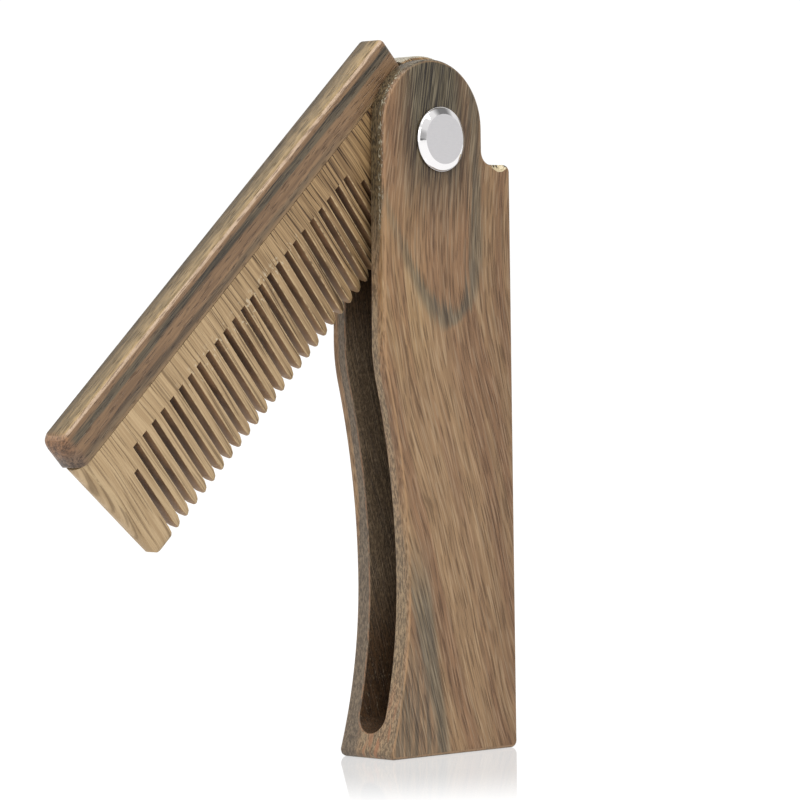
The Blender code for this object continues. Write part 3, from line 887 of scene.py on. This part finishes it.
def steel_material():
    """A satin face with faint turning marks, inside a bright polished chamfer."""
    build = Nodes("rivet_steel")
    x, y, z = build.place()
    height = build.sub(z, PIVOT_HEIGHT)
    radius = build.math("SQRT", build.add(build.math("POWER", x, 2.0), build.math("POWER", height, 2.0)))
    face = build.smooth(radius, CAP_FACE_RADIUS + 0.05, CAP_FACE_RADIUS - 0.05)
    rings = build.noise(build.join(build.mul(radius, 9.0), 0.0, 0.0), detail=3.0)
    scuffs = build.noise(build.join(build.mul(x, 1.3), y, build.mul(height, 5.0)), detail=3.0)
    satin = build.mix(scuffs, srgb(216, 214, 215), srgb(206, 204, 206))
    build.give(build.shader.inputs["Base Color"], build.mix(face, srgb(236, 234, 234), satin))
    build.give(build.shader.inputs["Roughness"], build.mix(face, (0.06,) * 3 + (1.0,), (0.36,) * 3 + (1.0,)))
    build.shader.inputs["Metallic"].default_value = 1.0
    build.give(build.shader.inputs["Normal"], build.bump(build.add(rings, scuffs), 0.004, 0.5))
    return build.material


handle_wood = handle_material()
spine_wood = spine_material()
tooth_wood = tooth_material()
rivet_steel = steel_material()

pieces = [
    (make_handle(), "handle", "handle", "handle_wood", handle_wood, None),
    (make_rivet(), "handle", "pivot_rivet", "rivet_steel", rivet_steel, None),
    (make_spine(), "comb", "comb_spine", "spine_wood", spine_wood, comb_matrix()),
    (make_tooth_plate(), "comb", "tooth_plate", "tooth_wood", tooth_wood, comb_matrix()),
]
for piece, body, node, slot, material, placed in pieces:
    piece.data.materials.clear()
    piece.data.materials.append(material)
    if placed:
        piece.data.transform(placed)
    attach(piece, body)
    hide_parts(node)

# Stage, light and camera


FLOOR_MIRROR = 0.42
FLOOR_BLUR = 0.05
FLOOR_GLOW = 0.99
MIRROR_START = 26.0
MIRROR_END = 92.0


def make_floor():
    """A white light table with a faint mirror image round the comb's foot."""
    builder = bmesh.new()
    corners = [builder.verts.new(point) for point in ((-6, -6, 0), (6, -6, 0), (6, 6, 0), (-6, 6, 0))]
    builder.faces.new(corners)
    floor = link("floor", builder)
    build = Nodes("floor")
    x, y, z = build.place()
    away = build.math("SQRT", build.add(build.math("POWER", x, 2.0), build.math("POWER", y, 2.0)))
    share = build.mul(build.smooth(away, MIRROR_END, MIRROR_START), FLOOR_MIRROR)
    build.shader.inputs["Base Color"].default_value = (0.1, 0.1, 0.1, 1.0)
    build.shader.inputs["Emission Color"].default_value = (1.0, 1.0, 1.0, 1.0)
    build.shader.inputs["Emission Strength"].default_value = FLOOR_GLOW
    build.shader.inputs["Roughness"].default_value = 0.9
    build.shader.inputs["Specular IOR Level"].default_value = 0.0
    glossy = build.node("ShaderNodeBsdfGlossy")
    glossy.inputs["Roughness"].default_value = FLOOR_BLUR
    mixed = build.node("ShaderNodeMixShader")
    build.give(mixed.inputs[0], share)
    build.tree.links.new(build.shader.outputs[0], mixed.inputs[1])
    build.tree.links.new(glossy.outputs[0], mixed.inputs[2])
    build.tree.links.new(mixed.outputs[0], build.tree.nodes["Material Output"].inputs["Surface"])
    floor.data.materials.append(build.material)


def area_light(name, location, target, size, watts, colour=(1.0, 1.0, 1.0)):
    data = bpy.data.lights.new(name, "AREA")
    data.shape = "RECTANGLE"
    data.size, data.size_y = size
    data.energy = watts
    data.color = colour
    item = bpy.data.objects.new(name, data)
    bpy.context.scene.collection.objects.link(item)
    item.location = location
    item.rotation_euler = (Vector(target) - Vector(location)).to_track_quat("-Z", "Y").to_euler()
    return item


ROOM_LIGHT = 0.85
# Where the room is dark, over how many degrees, and what light is left there
DARK_OPENINGS = (((-0.32, -0.947, -0.05), 7.0, 3.0, 0.05), ((-0.34, -0.93, 0.16), 14.0, 4.0, 0.55),
                 ((0.69, -0.38, 0.615), 24.0, 10.0, 0.25))
WHITE_CARD = (0.69, 0.72, 0.0)


def make_world():
    """White behind the comb; for light and reflections a pale room, with a white card and a few dark openings."""
    world = bpy.data.worlds.new("white room")
    bpy.context.scene.world = world
    world.use_nodes = True
    tree = world.node_tree
    room = tree.nodes["Background"]
    room.inputs["Color"].default_value = (1.0, 1.0, 1.0, 1.0)
    direction = tree.nodes.new("ShaderNodeTexCoord").outputs["Generated"]
    split = tree.nodes.new("ShaderNodeSeparateXYZ")
    tree.links.new(direction, split.inputs[0])
    height = tree.nodes.new("ShaderNodeMapRange")
    tree.links.new(split.outputs["Z"], height.inputs["Value"])
    for name, value in (("From Min", -0.2), ("From Max", 0.9), ("To Min", 0.9), ("To Max", 1.15)):
        height.inputs[name].default_value = value
    behind = tree.nodes.new("ShaderNodeVectorMath")
    behind.operation = "DOT_PRODUCT"
    tree.links.new(direction, behind.inputs[0])
    behind.inputs[1].default_value = Vector(WHITE_CARD).normalized()
    card = tree.nodes.new("ShaderNodeMapRange")
    tree.links.new(behind.outputs["Value"], card.inputs["Value"])
    for name, value in (("From Min", 0.93), ("From Max", 0.97), ("To Min", 1.0), ("To Max", 1.45)):
        card.inputs[name].default_value = value
    lit = tree.nodes.new("ShaderNodeMath")
    lit.operation = "MULTIPLY"
    tree.links.new(height.outputs[0], lit.inputs[0])
    tree.links.new(card.outputs[0], lit.inputs[1])
    strength = tree.nodes.new("ShaderNodeMath")
    strength.operation = "MULTIPLY"
    tree.links.new(lit.outputs[0], strength.inputs[0])
    strength.inputs[1].default_value = ROOM_LIGHT
    dimmed = strength.outputs[0]
    for towards, outer, inner, left in DARK_OPENINGS:
        facing = tree.nodes.new("ShaderNodeVectorMath")
        facing.operation = "DOT_PRODUCT"
        tree.links.new(direction, facing.inputs[0])
        facing.inputs[1].default_value = Vector(towards).normalized()
        opening = tree.nodes.new("ShaderNodeMapRange")
        tree.links.new(facing.outputs["Value"], opening.inputs["Value"])
        for name, value in (("From Min", math.cos(math.radians(outer))), ("From Max", math.cos(math.radians(inner))),
                            ("To Min", 1.0), ("To Max", left)):
            opening.inputs[name].default_value = value
        product = tree.nodes.new("ShaderNodeMath")
        product.operation = "MULTIPLY"
        tree.links.new(dimmed, product.inputs[0])
        tree.links.new(opening.outputs[0], product.inputs[1])
        dimmed = product.outputs[0]
    tree.links.new(dimmed, room.inputs["Strength"])
    backdrop = tree.nodes.new("ShaderNodeBackground")
    mixed = tree.nodes.new("ShaderNodeMixShader")
    tree.links.new(tree.nodes.new("ShaderNodeLightPath").outputs["Is Camera Ray"], mixed.inputs[0])
    tree.links.new(room.outputs[0], mixed.inputs[1])
    tree.links.new(backdrop.outputs[0], mixed.inputs[2])
    backdrop.inputs["Color"].default_value = (1.0, 1.0, 1.0, 1.0)
    backdrop.inputs["Strength"].default_value = 1.05
    tree.links.new(mixed.outputs[0], tree.nodes["World Output"].inputs["Surface"])


def make_lights():
    """A soft box high in front, one at the left, and a weak even light that keeps the table white."""
    area_light("top box", (-0.16, -0.46, 0.86), (0.0, 0.0, 0.06), (0.7, 0.45), 5.0)
    area_light("left box", (-1.0, -0.35, 0.35), (0.0, 0.0, 0.06), (0.5, 0.9), 4.0)
    data = bpy.data.lights.new("even light", "SUN")
    data.energy = 0.5
    data.angle = math.radians(60.0)
    item = bpy.data.objects.new("even light", data)
    bpy.context.scene.collection.objects.link(item)
    item.rotation_euler = (math.radians(20.0), math.radians(-12.0), 0.0)


CAMERA_AT = (-458.8, -482.4, 68.7)
VIEW_AZIMUTH = 43.334
VIEW_ELEVATION = -1.0734
CAMERA_ROLL = -0.8054
LENS = 188.244
SENSOR = 36.0


def make_camera():
    azimuth = math.radians(VIEW_AZIMUTH)
    elevation = math.radians(VIEW_ELEVATION)
    roll = math.radians(CAMERA_ROLL)
    ahead = Vector((math.sin(azimuth) * math.cos(elevation), math.cos(azimuth) * math.cos(elevation),
                    math.sin(elevation)))
    level = Vector((math.cos(azimuth), -math.sin(azimuth), 0.0))
    up = level.cross(ahead)
    right = level * math.cos(roll) + up * math.sin(roll)
    up = up * math.cos(roll) - level * math.sin(roll)
    data = bpy.data.cameras.new("camera")
    data.lens = LENS
    data.sensor_width = SENSOR
    camera = bpy.data.objects.new("camera", data)
    bpy.context.scene.collection.objects.link(camera)
    turned = Matrix((right, up, -ahead)).transposed().to_4x4()
    camera.matrix_world = Matrix.Translation([value * MM for value in CAMERA_AT]) @ turned
    bpy.context.scene.camera = camera


bpy.context.scene.view_settings.view_transform = "Standard"
make_floor()
make_world()
make_lights()
make_camera()
